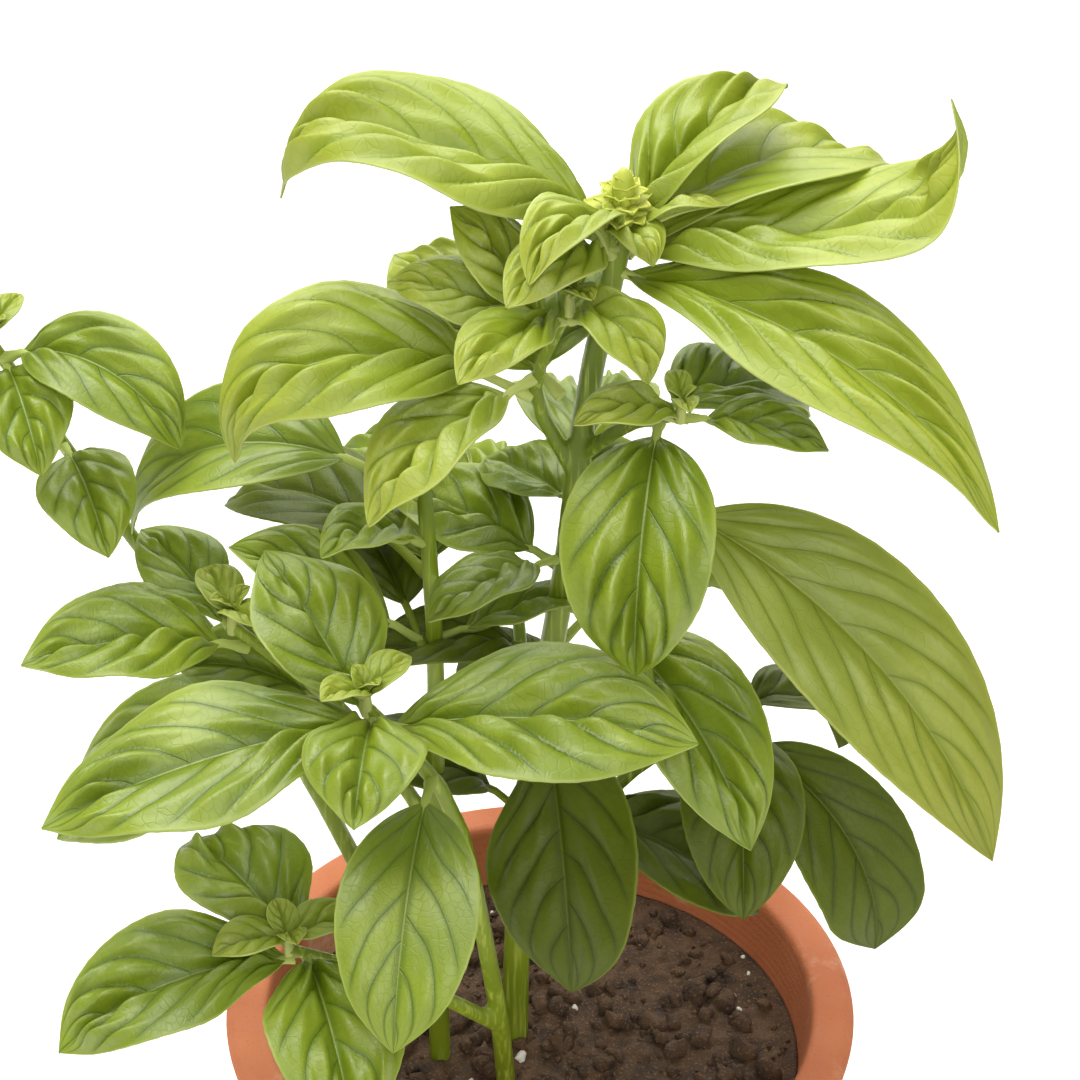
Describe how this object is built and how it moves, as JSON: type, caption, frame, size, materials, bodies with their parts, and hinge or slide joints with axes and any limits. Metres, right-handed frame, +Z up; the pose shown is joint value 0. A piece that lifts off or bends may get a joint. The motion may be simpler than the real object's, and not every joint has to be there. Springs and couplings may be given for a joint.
{
  "type": "potted basil plant",
  "caption": "Sweet basil plant with glossy quilted green leaves in opposite pairs and a young flower head, growing in a plain terracotta pot of soil.",
  "frame": {"origin": "middle of the pot's underside, on the surface that it stands on", "axes": "+Z up along the pot's axis; -Y is the plant's front and +X its right"},
  "size_m": [0.2649, 0.192, 0.3696],
  "materials": {
    "terracotta": "unglazed, matt",
    "soil": "moist crumbly soil",
    "stem": "satin green",
    "leaf_young": "glossy, quilted",
    "leaf": "glossy, quilted",
    "leaf_shade": "glossy, dark",
    "leaf_old": "satin, olive",
    "bud": "satin, pale"
  },
  "bodies": {
    "root": {"pot": "terracotta", "soil": "soil", "main_stem": "stem", "left_stem": "stem", "front_stem": "stem", "far_left_stem": "stem", "crown_left_leaf": "leaf_young", "crown_right_leaf": "leaf_young", "crown_back_leaf": "leaf_young", "crown_back_right_leaf": "leaf_young", "crown_twisted_leaf": "leaf_young", "crown_curled_leaf": "leaf_young", "crown_shoot_right_leaf": "leaf_young", "crown_shoot_front_leaf": "leaf_young", "crown_shoot_left_leaf": "leaf_young", "upper_left_leaf": "leaf_young", "upper_front_leaf": "leaf_young", "right_shoot_hanging_leaf": "leaf", "right_shoot_right_leaf": "leaf", "right_shoot_back_leaf": "leaf", "right_large_leaf": "leaf_old", "middle_left_leaf": "leaf", "middle_front_leaf": "leaf", "low_right_leaf": "leaf_old", "shaded_front_leaf": "leaf_shade", "shaded_right_leaf": "leaf_shade", "back_high_leaf": "leaf", "back_middle_leaf": "leaf", "low_right_front_leaf": "leaf_shade", "low_right_outer_leaf": "leaf_shade", "left_long_leaf": "leaf", "left_shaded_leaf": "leaf_shade", "left_crumpled_leaf": "leaf", "left_inner_leaf": "leaf", "left_back_leaf": "leaf", "mid_left_upper_leaf": "leaf", "mid_left_outer_leaf": "leaf", "mid_left_lower_leaf": "leaf", "rosette_left_leaf": "leaf", "rosette_right_leaf": "leaf", "rosette_upper_leaf": "leaf", "rosette_lower_leaf": "leaf", "hanging_front_leaf": "leaf", "low_rosette_back_leaf": "leaf", "low_rosette_left_leaf": "leaf", "low_rosette_front_leaf": "leaf", "far_left_inner_leaf": "leaf", "far_left_front_leaf": "leaf", "far_left_outer_leaf": "leaf", "back_shoot_left_leaf": "leaf", "back_shoot_right_leaf": "leaf", "back_shoot_outer_leaf": "leaf", "crown_shoot_tip": "leaf_young", "right_shoot_tip": "leaf_young", "left_tip": "leaf_young", "mid_left_tip": "leaf_young", "rosette_tip": "leaf_young", "low_rosette_tip": "leaf_young", "far_left_tip": "leaf_young", "flower_head": "bud"}
  },
  "joints": []
}
